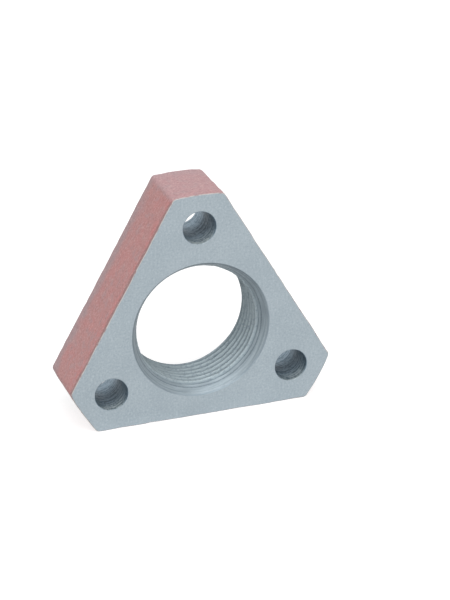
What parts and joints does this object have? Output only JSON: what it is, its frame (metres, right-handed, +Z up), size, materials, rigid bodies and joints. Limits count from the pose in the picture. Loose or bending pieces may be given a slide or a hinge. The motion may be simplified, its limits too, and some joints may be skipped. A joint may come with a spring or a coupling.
{
  "type": "threaded pipe flange",
  "caption": "Triangular cast pipe flange with a taper-threaded bore, a bolt hole at each crowned corner and a flat machined joint face.",
  "frame": {"origin": "on the bore's axis in the machined joint face, which is also the centre of the bolt circle", "axes": "+Z up from the flat foot, +X along the foot, +Y along the bore from the joint face to the cast back, where the pipe screws in"},
  "size_m": [0.0828, 0.0222, 0.0726],
  "materials": {
    "machined_iron": "fine milled, matt, bare grey iron",
    "rim_paint": "dull dusty red primer over the cast skin"
  },
  "bodies": {
    "root": {"flange": "machined_iron"}
  },
  "joints": []
}
